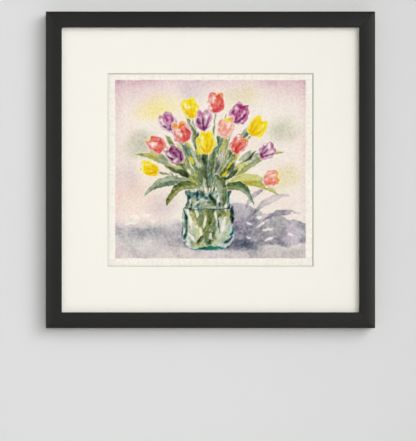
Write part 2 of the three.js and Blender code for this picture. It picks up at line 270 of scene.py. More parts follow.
def tulip(sheet, base, lean, size, kind, seed):
    """A tulip head in three broad petals, with slivers of dry paper between them."""
    rng = np.random.default_rng(seed)
    first, second, fold, strength, deep, tip = TULIPS[kind]
    turn = np.pi / 2 + np.radians(lean)
    side = rng.choice([-1, 1])
    left = petal(sheet, base, turn + 0.36, size * rng.uniform(0.86, 1.02), size * 0.29, -0.14)
    right = petal(sheet, base, turn - 0.36, size * rng.uniform(0.86, 1.02), size * 0.29, 0.14)
    front = petal(sheet, base, turn + side * 0.08, size * 0.88, size * 0.29, side * 0.05, 0.75)
    ragged = size * 0.16 * (sheet.dries[seed % 2] - 0.5)
    left, right, front = left + ragged, right - ragged, front + ragged
    whole = np.maximum(np.maximum(left, right), front)
    sheet.lift(whole + 0.0045, 0.93, soft=0.0028)
    wet = {"soft": 0.0025, "rim": 0.25, "flow": 0.9}
    sheet.lay(left, first, strength * 0.62, dropped=second, gaps=0.2, **wet)
    sheet.lay(right - 0.001, second, strength * 0.62, dropped=first, **wet)
    sheet.lift(front + 0.0032, 0.85, soft=0.002)
    sheet.lay(front, first, strength, dropped=second, gaps=0.26, **wet)
    way = np.array([np.cos(turn), np.sin(turn)])
    out = np.array([-way[1], way[0]])
    for offset in (-0.24, side * 0.04, 0.25):
        top = np.asarray(base) + way * size * rng.uniform(0.66, 0.84) + out * size * offset * 1.1
        bend = np.asarray(base) + way * size * 0.4 + out * size * offset * 1.35
        away, share, _ = along_curve(sheet, curve(base, bend, top, 7))
        line = size * 0.055 * np.sin(np.pi * np.clip(share, 0.05, 0.95)) - away
        sheet.lay(np.minimum(line, whole), fold, deep, soft=0.0025, rim=0.1, flow=0.8, gaps=0.34)
    base = np.asarray(base)
    crest = oval(sheet, base + way * size * 0.84, size * 0.13, size * 0.26, turn)
    sheet.lay(np.minimum(crest, whole), tip, 0.5, soft=0.005, rim=0, flow=0.9, gaps=0.3)
    glint = base + way * size * 0.56 - out * size * side * 0.16
    sheet.lift(oval(sheet, glint, size * 0.2, size * 0.05, turn), 0.6, soft=0.003)
    cup = oval(sheet, base + way * size * 0.09, size * 0.10, size * 0.18, turn)
    sheet.lay(cup, fold, deep * 0.6, soft=0.006, rim=0.1)


def leaf(sheet, points, width, light, dark, fold=1, strength=0.62, foot=0.5):
    """A blade that is widest before its middle, with one half shaded along the midrib."""
    away, share, side = along_curve(sheet, points)
    half = width * (share + 0.03) ** foot * (1.0 - share) ** 0.8 * 1.8
    inside = half - away
    sheet.lift(inside + 0.0032, 0.82)
    sheet.lay(inside, light, strength, soft=0.0018, rim=0.35, flow=0.6, dropped="sage", gaps=0.13)
    shaded = np.minimum(inside, side * fold * away + 0.001)
    sheet.lay(shaded, dark, strength * 0.7, soft=0.003, rim=0.2, flow=0.8, gaps=0.2)
    sheet.lift(np.minimum(0.0012 - away, 0.6 - share), 0.4, soft=0.001)


def stem(sheet, points, pigment, width=0.0045, strength=0.7):
    """A thin stroke along a curve."""
    away, _, _ = along_curve(sheet, points)
    sheet.lift(width + 0.001 - away, 0.6)
    sheet.lay(width - away, pigment, strength, soft=0.0016, rim=0.3, flow=0.6, dropped="sage")


def dabs(sheet, touches, pigment, strength, soft=0.003, gaps=0.0):
    """Small touches of one colour: each is its place, length, width and turn."""
    for at, spread, turn in touches:
        sheet.lay(oval(sheet, at, *spread, turn), pigment, strength, soft=soft, flow=0.7, gaps=gaps)


def wipes(sheet, touches):
    """Small dry marks: each is its place, length, width and turn."""
    for at, spread, turn in touches:
        sheet.lift(oval(sheet, at, *spread, turn), 0.85, soft=0.002)


def background(sheet):
    """Pale washes, mauve towards the top and corners, with soft patches of other colours."""
    x, y, top = sheet.x, sheet.y, sheet.height
    everywhere = np.full(x.shape, 1.0)
    sheet.lay(everywhere, "blush", 0.18, rim=0, flow=0.7)
    sheet.lay(everywhere, "mauve", 0.04, rim=0, flow=1.0)
    band = y - top + 0.085 + 0.05 * (cloud(x, y, 5, 51) - 0.5)
    sheet.lay(band, "mauve", 0.16, soft=0.075, rim=0, flow=0.6)
    sheet.lay(y - top + 0.022, "mauve", 0.24, soft=0.03, rim=0, flow=0.9)
    corner = 0.17 - np.hypot(x * 0.8, (top - y) * 1.1)
    sheet.lay(corner, "mauve", 0.14, soft=0.10, rim=0)
    sheet.lay(0.10 - np.hypot((1 - x) * 0.5, top - y), "mauve", 0.14, soft=0.06, rim=0)
    for edge, strength in ((x, 0.12), (1 - x, 0.10)):
        sheet.lay(0.012 - edge + 0.03 * cloud(x, y, 7, 61), "mauve", strength, soft=0.02, rim=0)
    sheet.lay(oval(sheet, (0.10, 0.32), 0.15, 0.11), "blush", 0.30, soft=0.09, rim=0)
    glow = 0.31 - np.hypot(x - 0.52, (y - 0.62) * 0.9)
    sheet.lift(glow, 0.42, soft=0.26)
    for at, spread, pigment, strength in (
        ((0.13, 0.60), (0.08, 0.055), "sage", 0.28),
        ((0.22, 0.79), (0.09, 0.050), "lemon", 0.15),
        ((0.66, 0.85), (0.07, 0.045), "lime", 0.20),
        ((0.88, 0.68), (0.07, 0.055), "sage", 0.26),
        ((0.90, 0.42), (0.06, 0.050), "lime", 0.22),
        ((0.42, 0.88), (0.06, 0.050), "lilac", 0.26),
        ((0.07, 0.42), (0.05, 0.080), "lilac", 0.20),
        ((0.24, 0.27), (0.06, 0.050), "lilac", 0.30),
    ):
        patch = oval(sheet, at, *spread, 0.3) + 0.03 * (cloud(x, y, 14, 71) - 0.5)
        sheet.lay(patch, pigment, strength, soft=0.045, rim=0, flow=0.6)


def table(sheet):
    """The bouquet's shadow, cast to the right over the table, with blade shapes and dry gaps."""
    x, y = sheet.x, sheet.y
    ragged = 0.05 * (cloud(x + 1, y + 1, 9, 81) - 0.5)
    ragged = ragged + 0.022 * (cloud(x + 1, y + 1, 34, 83, 2) - 0.5)
    sheet.lay(0.15 - y + 0.7 * ragged, "lilac", 0.25, soft=0.03, rim=0, flow=0.6, dropped="shadow")
    sheet.lay(0.05 - y + 0.3 * ragged, "shadow", 0.04, soft=0.03, rim=0, flow=0.9)
    near_jar = 0.19 + 0.10 * smooth(0.95, 0.62, x)
    right = np.minimum(near_jar - y + ragged, x - 0.54)
    right = np.minimum(right, (y - 0.085 - ragged) * 0.3 + 0.004)
    left = 0.175 + 0.02 * np.sin(x * 23 + 1) - y + 0.7 * ragged
    left = np.minimum(np.minimum(left, 0.44 - x), (y - 0.10 + 0.4 * ragged) * 0.3 + 0.004)
    sheet.lift(np.maximum(left, right) + 0.004, 0.35, soft=0.006)
    sheet.lay(right, "shadow", 0.44, soft=0.0022, rim=0.25, flow=0.9, dropped="lilac")
    sheet.lay(left, "shadow", 0.25, soft=0.014, rim=0.1, flow=0.9, dropped="lilac")
    far = oval(sheet, (0.14, 0.15), 0.10, 0.045, 0.2)
    sheet.lay(far, "shadow", 0.2, soft=0.03, rim=0, flow=0.9)
    near = oval(sheet, (0.66, 0.15), 0.12, 0.09, 2.3)
    sheet.lay(near, "shadow", 0.42, soft=0.05, rim=0, flow=0.9)
    for start, bend, end, width in (
        ((0.72, 0.23), (0.80, 0.33), (0.91, 0.33), 0.018),
        ((0.78, 0.20), (0.87, 0.26), (0.97, 0.235), 0.015),
        ((0.68, 0.26), (0.72, 0.34), (0.79, 0.375), 0.013),
    ):
        away, share, _ = along_curve(sheet, curve(start, bend, end))
        blade = width * np.sin(np.pi * np.clip(share, 0.04, 0.96)) ** 0.8 - away
        sheet.lay(blade, "shadow", 0.46, soft=0.003, rim=0.3, flow=0.6, dropped="lilac", gaps=0.2)
    under = oval(sheet, (0.51, 0.075), 0.19, 0.030, -0.04)
    sheet.lay(under, "shadow", 0.55, soft=0.014, rim=0, flow=0.6, dropped="indigo")
    rng = np.random.default_rng(88)
    for i in range(11):
        across = rng.uniform(0.03, 0.30) if i % 3 == 0 else rng.uniform(0.66, 0.97)
        at = (across, rng.uniform(0.08, 0.23))
        spread = (rng.uniform(0.012, 0.036), rng.uniform(0.004, 0.009))
        gap = oval(sheet, at, *spread, rng.uniform(-0.5, 0.7))
        gap = gap + 0.006 * (cloud(x + 1, y + 1, 60, 91, 2) - 0.5)
        sheet.lift(gap, 0.92, soft=0.0018)


FLOWERS = [
    # the stem's lean to the left from upright in degrees, its reach, the head's length and its kind
    (-5, 0.410, 0.112, "coral"),
    (13, 0.385, 0.120, "yellow"),
    (-22, 0.375, 0.116, "magenta"),
    (31, 0.365, 0.110, "orchid"),
    (-38, 0.365, 0.116, "yellow"),
    (49, 0.315, 0.108, "coral"),
    (-57, 0.320, 0.108, "orchid"),
    (70, 0.285, 0.100, "yellow"),
    (4, 0.310, 0.118, "orchid"),
    (-15, 0.285, 0.118, "apricot"),
    (25, 0.275, 0.118, "coral"),
    (-80, 0.290, 0.100, "apricot"),
    (-34, 0.235, 0.112, "coral"),
    (44, 0.205, 0.106, "magenta"),
    (3, 0.190, 0.120, "yellow"),
]

MOUTH = (0.49, 0.36)


def head_foot(lean, reach):
    """Where a stem that leaves the jar's mouth meets its head."""
    turn = np.pi / 2 + np.radians(lean)
    return np.array(MOUTH) + reach * np.array([np.cos(turn), np.sin(turn)])


def stems(sheet):
    """One stem from the jar's mouth to each head."""
    mouth = np.array(MOUTH)
    for i, (lean, reach, _, _) in enumerate(FLOWERS):
        foot = head_foot(lean, reach)
        way = (foot - mouth) / reach
        root = mouth + np.array([(foot[0] - mouth[0]) * 0.3, -0.02])
        bend = foot - way * 0.45 * np.linalg.norm(foot - root) + np.array([0, 0.012])
        stem(sheet, curve(root, bend, foot), ("sap", "olive", "sienna")[i % 3])


def foliage(sheet):
    """Broad blades behind, then a thicket of short strokes that ties the stems together."""
    leaves = [
        ((0.46, 0.38), (0.41, 0.60), (0.245, 0.720), 0.028, "sage", "sea", 1),
        ((0.44, 0.38), (0.31, 0.54), (0.110, 0.545), 0.034, "lime", "sage", 1),
        ((0.42, 0.37), (0.26, 0.46), (0.150, 0.330), 0.034, "sage", "sea", 1),
        ((0.44, 0.37), (0.32, 0.43), (0.265, 0.270), 0.028, "olive", "sap", -1),
        ((0.48, 0.38), (0.44, 0.60), (0.360, 0.770), 0.022, "olive", "sage", -1),
        ((0.54, 0.38), (0.62, 0.62), (0.765, 0.735), 0.028, "sage", "sea", -1),
        ((0.57, 0.38), (0.72, 0.56), (0.885, 0.560), 0.036, "lime", "sage", -1),
        ((0.59, 0.38), (0.74, 0.47), (0.860, 0.325), 0.040, "lime", "lime", -1),
        ((0.58, 0.37), (0.69, 0.42), (0.725, 0.285), 0.028, "sap", "sea", 1),
        ((0.50, 0.38), (0.53, 0.60), (0.580, 0.760), 0.021, "sea", "sap", 1),
        ((0.49, 0.38), (0.48, 0.54), (0.425, 0.660), 0.022, "sap", "forest", 1),
        ((0.53, 0.38), (0.60, 0.50), (0.700, 0.620), 0.023, "lime", "sap", 1),
        ((0.46, 0.37), (0.39, 0.48), (0.290, 0.515), 0.022, "sea", "sap", 1),
    ]
    for start, bend, end, width, light, dark, fold in leaves:
        leaf(sheet, curve(start, bend, end), width, light, dark, fold)
    rng = np.random.default_rng(410)
    greens = ("lime", "sage", "olive", "sea", "lime", "sap", "olive", "sage", "forest", "lime")
    for i in range(64):
        lean = rng.uniform(-1.05, 0.85)
        rise = rng.uniform(0.0, 0.19)
        start = np.array([0.485 + (0.075 + rise) * lean + rng.uniform(-0.02, 0.02), 0.375 + rise])
        reach = rng.uniform(0.06, 0.13)
        end = start + reach * np.array([np.sin(lean), np.cos(lean)])
        bend = (start + end) / 2 + np.array([0.012 * np.sign(lean), 0.01])
        blade_width = rng.uniform(0.006, 0.014)
        away, share, _ = along_curve(sheet, curve(start, bend, end, 6))
        inside = blade_width * np.sin(np.pi * np.clip(share, 0.03, 0.97)) ** 0.7 - away
        sheet.lift(inside + 0.0015, 0.45)
        sheet.lay(inside, greens[i % 10], 0.5, rim=0.3, flow=0.7, dropped="sage", gaps=0.18)
    between = (((0.46, 0.455), (0.032, 0.012), 1.9), ((0.535, 0.475), (0.03, 0.010), 1.4))
    dabs(sheet, between, "indigo", 0.30, 0.005, 0.2)
    deepest = (((0.355, 0.445), (0.034, 0.015), 2.6), ((0.61, 0.475), (0.03, 0.012), 0.9),
               ((0.565, 0.40), (0.036, 0.017), 1.35), ((0.345, 0.505), (0.022, 0.010), 2.2))
    dabs(sheet, deepest, "forest", 0.62, 0.003, 0.2)
    buds = (((0.575, 0.445), (0.022, 0.006), 0.9), ((0.40, 0.515), (0.026, 0.009), 2.0),
            ((0.64, 0.535), (0.014, 0.006), 0.4), ((0.43, 0.565), (0.020, 0.006), 1.9),
            ((0.60, 0.485), (0.020, 0.005), 0.8), ((0.385, 0.60), (0.016, 0.006), 2.2))
    wipes(sheet, buds)
    dabs(sheet, buds, "lemon", 0.9, 0.002)
    wipes(sheet, (((0.385, 0.455), (0.018, 0.006), 2.3), ((0.60, 0.415), (0.014, 0.005), 1.2),
                  ((0.445, 0.49), (0.014, 0.004), 1.9), ((0.535, 0.54), (0.012, 0.004), 1.4)))


JAR_FOOT, JAR_RIM, JAR_MIDDLE = 0.048, 0.358, 0.488


def jar_half(y):
    """Half the jar's width at a height: upright sides, a shoulder and a flared neck."""
    t = np.clip((y - JAR_FOOT) / (JAR_RIM - JAR_FOOT), 0, 1)
    foot = 0.90 + 0.10 * smooth(0.0, 0.16, t)
    shoulder = 1 - 0.22 * smooth(0.60, 0.82, t)
    return 0.136 * foot * shoulder + 0.012 * smooth(0.84, 1.0, t)


def jar_place(side, t):
    """A place in the jar: side runs from -1 to 1 and t from its foot to its rim."""
    y = JAR_FOOT + (JAR_RIM - JAR_FOOT) * t
    return JAR_MIDDLE + side * jar_half(y), y


def jar(sheet):
    """A glass jar with stems in water: broken outlines, pooled teal and dry-paper glints."""
    x, y = sheet.hand_x, sheet.hand_y
    sag = 0.014 * (1 - ((x - JAR_MIDDLE) / 0.15) ** 2)
    sides = jar_half(y) - np.abs(x - JAR_MIDDLE)
    body = rounded_corner(sides, y - JAR_FOOT + sag * 0.9 - 0.006)
    body = np.minimum(body, JAR_RIM - sag * 0.6 - y)
    sheet.lift(body, 0.93)
    sheet.lay(body, "aqua", 0.40, soft=0.002, rim=0.3, flow=1.0, dropped="sage", gaps=0.26)
    neck = np.minimum(body - 0.003, y - 0.262 + sag)
    sheet.lay(neck, "sage", 0.42, soft=0.004, rim=0.2, flow=1.2, dropped="sea", gaps=0.40)
    sheet.lay(neck, "deep_blue", 0.26, soft=0.006, rim=0, flow=1.2, gaps=0.58)
    water = np.minimum(body - 0.010, 0.268 - sag - y)
    sheet.lay(water, "lime", 0.36, soft=0.004, rim=0.2, flow=1.2, dropped="sage", gaps=0.40)
    depth = water - 0.012
    sheet.lay(depth, "olive", 0.15, soft=0.006, rim=0.1, flow=1.2, dropped="ochre", gaps=0.52)
    rng = np.random.default_rng(502)
    greens = ("sage", "olive", "lime", "sap", "sage", "sea")
    for i in range(20):
        top = (i - 9.5) / 10.5 + rng.uniform(-0.08, 0.08)
        low = (9.5 - i) / 22 + rng.uniform(-0.45, 0.45)
        start, end = jar_place(low * 0.7, rng.uniform(0.08, 0.2)), jar_place(top * 0.8, 0.72)
        bend = jar_place((low + top) * 0.55, 0.42)
        away, _, _ = along_curve(sheet, curve(start, bend, end, 6))
        stroke = np.minimum(rng.uniform(0.004, 0.009) - away, water - 0.002)
        sheet.lift(stroke + 0.001, 0.4)
        sheet.lay(stroke, greens[i % 6], 0.5, soft=0.002, rim=0.3, flow=0.8, gaps=0.25)
    for i in range(20):
        at = jar_place(rng.uniform(-0.8, 0.85), rng.uniform(0.72, 0.95))
        pigment = ("sea", "deep_blue", "sage", "forest", "lime")[i % 5]
        spread = (rng.uniform(0.012, 0.026), rng.uniform(0.006, 0.012))
        touch = oval(sheet, at, *spread, rng.uniform(1.2, 2.2))
        sheet.lay(np.minimum(touch, body), pigment, 0.48, soft=0.003, rim=0.2, flow=0.7, gaps=0.3)
    for side in (-1, 1):
        for i in range(15):
            t = rng.uniform(0.10, 0.92)
            at = jar_place(side * rng.uniform(0.84, 0.97), t)
            steep = np.pi / 2 + side * (0.45 - t) * 1.5
            touch = oval(sheet, at, rng.uniform(0.010, 0.026), rng.uniform(0.003, 0.008), steep)
            pigment = ("deep_blue", "teal", "sea", "indigo", "sage")[rng.integers(5)]
            sheet.lay(np.minimum(touch, body + 0.001), pigment, rng.uniform(0.3, 0.75), soft=0.002)
    dark = (((0.505, 0.105), (0.034, 0.006), 1.25), ((0.445, 0.10), (0.026, 0.006), 1.0),
            ((0.545, 0.17), (0.03, 0.005), 1.7), ((0.555, 0.30), (0.028, 0.012), 1.4))
    dabs(sheet, dark, "indigo", 0.55, 0.003, 0.2)
    blue = (((0.595, 0.095), (0.026, 0.008), 0.7), ((0.61, 0.24), (0.03, 0.007), 1.4))
    dabs(sheet, blue, "deep_blue", 0.75, 0.003, 0.2)
    pooled = (((0.612, 0.145), (0.020, 0.010), 1.2), ((0.50, 0.052), (0.07, 0.010), 0.02))
    dabs(sheet, pooled, "teal", 0.8, 0.003, 0.2)
    for side, t, long, turn in (
        (-0.72, 0.52, 0.050, 1.75), (-0.45, 0.62, 0.030, 1.7), (0.62, 0.42, 0.044, 1.35),
        (-0.15, 0.46, 0.034, 1.35), (0.30, 0.56, 0.030, 1.8), (0.74, 0.70, 0.024, 1.5),
        (-0.62, 0.20, 0.028, 2.3), (0.12, 0.22, 0.022, 1.6), (0.88, 0.34, 0.026, 1.3),
        (-0.86, 0.80, 0.020, 1.4), (0.50, 0.84, 0.018, 1.6), (-0.30, 0.30, 0.024, 1.9),
    ):
        glint = oval(sheet, jar_place(side, t), long, 0.0075, turn)
        sheet.lift(np.minimum(glint, body), 0.9, soft=0.002)
    for level, pigment, strength in ((0.268, "deep_blue", 0.75), (0.352, "sea", 0.6)):
        line = np.minimum(0.0022 - np.abs(y - level + sag), body)
        sheet.lay(line, pigment, strength, soft=0.0016, rim=0, flow=0.8, gaps=0.35)
    outline = 0.0026 - np.abs(body - 0.001)
    sheet.lay(outline, "deep_blue", 0.55, soft=0.002, rim=0, flow=0.9, gaps=0.52)


def overhang(sheet):
    """A blade that hangs in front of the jar."""
    points = curve((0.535, 0.42), (0.575, 0.36), (0.560, 0.255))
    leaf(sheet, points, 0.030, "sage", "sap", 1, 0.66, 0.3)


def paint(x, y, height):
    """Paints the whole picture, from the washes to the leaf in front."""
    sheet = Painting(x, y, height)
    background(sheet)
    table(sheet)
    stems(sheet)
    foliage(sheet)
    for i, (lean, reach, size, kind) in enumerate(FLOWERS):
        tulip(sheet, head_foot(lean, reach), lean, size, kind, 300 + i)
    jar(sheet)
    overhang(sheet)
    return sheet


# ---- Settings -------------------------------------------------------------------------------


def colour(name, description, default):
    """A colour that a user can change."""
    return bpy.props.FloatVectorProperty(
        name=name, description=description, default=default, subtype="COLOR", size=3, min=0, max=1
    )


def length(name, description, default):
    """A length that a user can change."""
    return bpy.props.FloatProperty(
        name=name, description=description, default=default,
        subtype="DISTANCE", unit="LENGTH", min=0
    )


def share(name, description, default, top=1.0):
    """A number from 0 to top that a user can change."""
    return bpy.props.FloatProperty(
        name=name, description=description, default=default, subtype="FACTOR", min=0, max=top
    )


def power(name, description, default):
    """A light's power that a user can change."""
    return bpy.props.FloatProperty(
        name=name, description=description, default=default, unit="POWER"
    )


class FrameSettings(bpy.types.PropertyGroup):
    """The moulding, its paint and its bare wood."""

    paint: colour("Paint", "The satin black on the face and sides", (0.0070, 0.0067, 0.0061))
    sheen: share("Roughness", "How much the paint blurs what it reflects", 0.40)
    wood: colour("Bare wood", "The unpainted back of the moulding", (0.50, 0.335, 0.185))
    rounding: length("Edge rounding", "How far the moulding's edges are eased", 0.3 * MM)


class MountSettings(bpy.types.PropertyGroup):
    """The glass, the mat and the boards behind it."""

    board: colour("Mat", "The mat's face paper", (0.768, 0.730, 0.685))
    # The core's grey is painted shade: a real core is near white, and this one is darkened to show
    # the bevel's shaded line around the window.
    core: colour("Mat core", "The board's core, which the bevel lays open", (0.60, 0.585, 0.535))
    glass: colour("Glass", "The tint of the picture glass", (0.985, 0.992, 0.988))
    filler: colour("Filler", "The foam board", (0.80, 0.79, 0.76))
    back: colour("Back board", "The hardboard", (0.205, 0.112, 0.052))
    tape: colour("Tape", "The gummed paper", (0.66, 0.60, 0.47))


class PaintingSettings(bpy.types.PropertyGroup):
    """The watercolour sheet."""

    paper: colour("Paper", "The rag paper's own colour", (0.800, 0.757, 0.704))
    painted_width: length("Painted width", "The width inside the tape line", 243.5 * MM)
    painted_height: length("Painted height", "The height inside the tape line", 228 * MM)
    rise: length("Rise", "How far the painted area stands above the sheet's middle", 1 * MM)
    step: length("Stroke detail", "The distance between places that hold a colour", 0.8 * MM)
    cockle: length("Cockle", "How far the sheet waves", 0.1 * MM)
    tooth: share("Tooth", "The depth of the paper's grain", 0.6)


class HardwareSettings(bpy.types.PropertyGroup):
    """Turn buttons, screws, nails, hanger and pads."""

    zinc: colour("Zinc", "The plating on the buttons, screws and hanger", (0.60, 0.61, 0.63))
    steel: colour("Steel", "The nails", (0.42, 0.42, 0.43))
    rubber: colour("Rubber", "The wall pads", (0.022, 0.022, 0.024))
    rounding: length("Edge rounding", "How far the pressed edges are eased", 0.12 * MM)


class StageSettings(bpy.types.PropertyGroup):
    """Wall, floor, lights and camera."""

    wall: colour("Wall", "The painted wall", (0.600, 0.607, 0.604))
    floor: colour("Floor", "The pale floor", (0.62, 0.615, 0.60))
    room_low: share("Room shade", "The room's light from the lower left", 0.265, 4)
    room_high: share("Room light", "The room's light from the upper right", 0.415, 4)
    key_power: power("Key light", "The soft light from the upper right", 244)
    front_power: power("Front light", "The soft spot from beside the camera", 86)
    lens: bpy.props.FloatProperty(
        name="Lens", description="The camera's focal length", default=120, unit="CAMERA"
    )


# ---- Node materials -------------------------------------------------------------------------


def node(tree, kind, inputs=(), **settings):
    """Adds a shader node. inputs is (socket name or number, value or socket) pairs."""
    made = tree.nodes.new("ShaderNode" + kind)
    for name, value in settings.items():
        setattr(made, name, value)
    for socket, value in inputs:
        if isinstance(value, bpy.types.NodeSocket):
            tree.links.new(value, made.inputs[socket])
        else:
            made.inputs[socket].default_value = value
    return made


def maths(tree, operation, a, b=0.0):
    """The result of an operation on sockets or numbers."""
    return node(tree, "Math", ((0, a), (1, b)), operation=operation).outputs[0]


def plus(tree, a, b):
    """Adds two sockets or numbers."""
    return maths(tree, "ADD", a, b)


def times(tree, a, b):
    """Multiplies two sockets or numbers."""
    return maths(tree, "MULTIPLY", a, b)


def shade(tint, share):
    """A colour made darker or lighter."""
    return [min(channel * share, 1) for channel in tint]


def stepped(tree, value, low, high):
    """0 below low, 1 above high, and smooth between."""
    made = node(
        tree, "MapRange", (("Value", value), ("From Min", low), ("From Max", high)),
        interpolation_type="SMOOTHSTEP",
    )
    return made.outputs["Result"]


def tinted(tree, factor, a, b, blend="MIX"):
    """Mixes two colours, each a socket or three numbers."""
    a, b = (c if isinstance(c, bpy.types.NodeSocket) else (*c, 1.0) for c in (a, b))
    made = node(tree, "Mix", ((0, factor), (6, a), (7, b)), data_type="RGBA", blend_type=blend)
    return made.outputs[2]


def places(tree, stretch=(1, 1, 1)):
    """The piece's own coordinates in metres, stretched along each axis."""
    at = node(tree, "TexCoord").outputs["Object"]
    return node(tree, "Mapping", (("Vector", at), ("Scale", stretch))).outputs[0]


def speckle(tree, scale, detail=3.0, rough=0.55, at=None, distortion=0.0):
    """Soft noise from 0 to 1 with scale cells to a metre."""
    inputs = [("Vector", at or places(tree)), ("Scale", scale), ("Detail", detail)]
    inputs += [("Roughness", rough), ("Distortion", distortion)]
    return node(tree, "TexNoise", inputs).outputs["Fac"]


def bumped(tree, height, depth, strength=1.0, under=None):
    """A surface that a height raises by up to depth, on top of the relief under it."""
    inputs = [("Height", height), ("Distance", depth), ("Strength", strength)]
    if under is not None:
        inputs.append(("Normal", under))
    return node(tree, "Bump", inputs).outputs["Normal"]


def along(tree, axis):
    """One of the piece's own coordinates."""
    at = node(tree, "TexCoord").outputs["Object"]
    return node(tree, "SeparateXYZ", ((0, at),)).outputs[axis]


def finish(name, build):
    """Makes a material from a function that returns the inputs of its main shader."""
    made = bpy.data.materials.get(name)
    if made is not None:
        return made
    made = bpy.data.materials.new(name)
    made.use_nodes = True
    tree = made.node_tree
    tree.nodes.clear()
    shader = node(tree, "BsdfPrincipled", build(tree))
    out = node(tree, "OutputMaterial")
    tree.links.new(shader.outputs[0], out.inputs["Surface"])
    return made


def frontal(tree):
    """1 where the surface faces straight to the front or back, and 0 on its sides."""
    facing = node(tree, "NewGeometry").outputs["True Normal"]
    return maths(tree, "ABSOLUTE", node(tree, "SeparateXYZ", ((0, facing),)).outputs["Y"])


# Cells of wood grain to a metre, along a rail and in its two directions across.
ALONG_GRAIN = 25
ACROSS_GRAIN = (1100, 1100)


def moulding_finish(settings, name, stretch):
    """Satin black over fine wood grain, flatter on the sides, with bare wood on the back."""

    def build(tree):
        grain = speckle(tree, 1.0, 4, 0.6, places(tree, stretch))
        pores = speckle(tree, 3.0, 2, 0.5, places(tree, stretch))
        dust = speckle(tree, 900, 2, 0.5)
        drift = speckle(tree, 14, 3, 0.6)
        paint = tinted(tree, stepped(tree, drift, 0.3, 0.7), settings.paint,
                       shade(settings.paint, 1.25))
        rings = tinted(tree, stepped(tree, grain, 0.35, 0.65), settings.wood,
                       shade(settings.wood, 0.72))
        rings = tinted(tree, times(tree, stepped(tree, pores, 0.58, 0.7), 0.5), rings,
                       shade(settings.wood, 0.45))
        edge = plus(tree, along(tree, "Y"), times(tree, drift, 0.5 * MM))
        bare = stepped(tree, edge, BACK_Y, BACK_Y + 0.12 * MM)
        rough = plus(tree, times(tree, dust, 0.10), settings.sheen - 0.05)
        rough = plus(tree, rough, times(tree, bare, 0.35))
        rough = plus(tree, rough, times(tree, stepped(tree, frontal(tree), 0.6, 0.2), 0.3))
        relief = bumped(tree, grain, 0.05 * MM, 0.35)
        relief = bumped(tree, dust, 0.02 * MM, 0.25, relief)
        return (
            ("Base Color", tinted(tree, bare, paint, rings)),
            ("Roughness", rough),
            ("Specular IOR Level", 0.27),
            ("Normal", relief),
        )

    return finish(name, build)


def mat_finish(settings):
    """Off-white face paper, a little mottled, and a grey core where the bevel lays it open, kept
    darker than a real core as painted shade along the window's edge.
    """

    def build(tree):
        fibre = speckle(tree, 1400, 3, 0.6)
        mottle = speckle(tree, 60, 4, 0.6)
        face = tinted(tree, mottle, shade(settings.board, 0.992), shade(settings.board, 1.008))
        face = tinted(tree, times(tree, fibre, 0.02), face, (0.5, 0.48, 0.42))
        # The bevel faces take the grey core colour: painted shade along the window.
        core = tinted(tree, fibre, shade(settings.core, 0.9), settings.core)
        is_face = stepped(tree, frontal(tree), 0.85, 0.95)
        return (
            ("Base Color", tinted(tree, is_face, core, face)),
            ("Roughness", 0.88),
            ("Specular IOR Level", 0.25),
            ("Normal", bumped(tree, fibre, 0.03 * MM, 0.3)),
        )

    return finish("Mat board", build)


def paper_finish(name, tint, coarse=700):
    """Plain paper: fine fibres and a soft mottle."""

    def build(tree):
        fibre = speckle(tree, coarse, 4, 0.65)
        mottle = speckle(tree, 45, 3, 0.6)
        base = tinted(tree, mottle, shade(tint, 0.96), tint)
        base = tinted(tree, times(tree, stepped(tree, fibre, 0.5, 0.75), 0.12), base,
                      shade(tint, 0.7))
        return (
            ("Base Color", base),
            ("Roughness", 0.9),
            ("Specular IOR Level", 0.2),
            ("Normal", bumped(tree, fibre, 0.05 * MM, 0.4)),
        )

    return finish(name, build)


def painted_finish(settings):
    """The pigment that the sheet's points hold, darker in the hollows of the paper's tooth: pigment
    settled there in the washes, and painted shade on the bare paper.
    """

    def build(tree):
        pigment = node(tree, "Attribute", attribute_name="pigment").outputs["Color"]
        fine = speckle(tree, 950, 2, 0.6, distortion=0.6)
        coarse = speckle(tree, 330, 1, 0.5)
        tooth = plus(tree, times(tree, fine, 0.4), times(tree, coarse, 0.6))
        # Darker in the tooth's hollows: settled pigment where there is paint, painted shade where
        # the paper is bare.
        deep = times(tree, stepped(tree, tooth, 0.60, 0.38), 0.34)
        base = tinted(tree, deep, pigment, tinted(tree, 1.0, pigment, pigment, "MULTIPLY"))
        return (
            ("Base Color", base),
            ("Roughness", 0.92),
            ("Specular IOR Level", 0.2),
            ("Normal", bumped(tree, tooth, 0.6 * MM, settings.tooth)),
        )

    return finish("Watercolour on rag paper", build)


# The wire screen that the board was pressed on.
SCREEN_PITCH = 1.6 * MM


def hardboard_finish(settings):
    """Pressed brown fibre with a fine screen pattern."""

    def build(tree):
        fibre = speckle(tree, 420, 5, 0.7, places(tree, (1, 1, 0.35)))
        blotch = speckle(tree, 22, 4, 0.6)
        turns = 2 * math.pi / SCREEN_PITCH
        across, up = (maths(tree, "SINE", times(tree, along(tree, axis), turns)) for axis in "XZ")
        screen = times(tree, across, up)
        base = tinted(tree, blotch, shade(settings.back, 0.8), shade(settings.back, 1.2))
        base = tinted(tree, times(tree, stepped(tree, fibre, 0.5, 0.8), 0.5), base,
                      shade(settings.back, 1.9))
        relief = bumped(tree, screen, 0.05 * MM, 0.25)
        return (
            ("Base Color", base),
            ("Roughness", plus(tree, times(tree, fibre, 0.3), 0.5)),
            ("Normal", bumped(tree, fibre, 0.08 * MM, 0.4, relief)),
        )

    return finish("Hardboard", build)


# How much the two metals blur what they reflect.
ZINC_DULLNESS = 0.34
STEEL_DULLNESS = 0.42


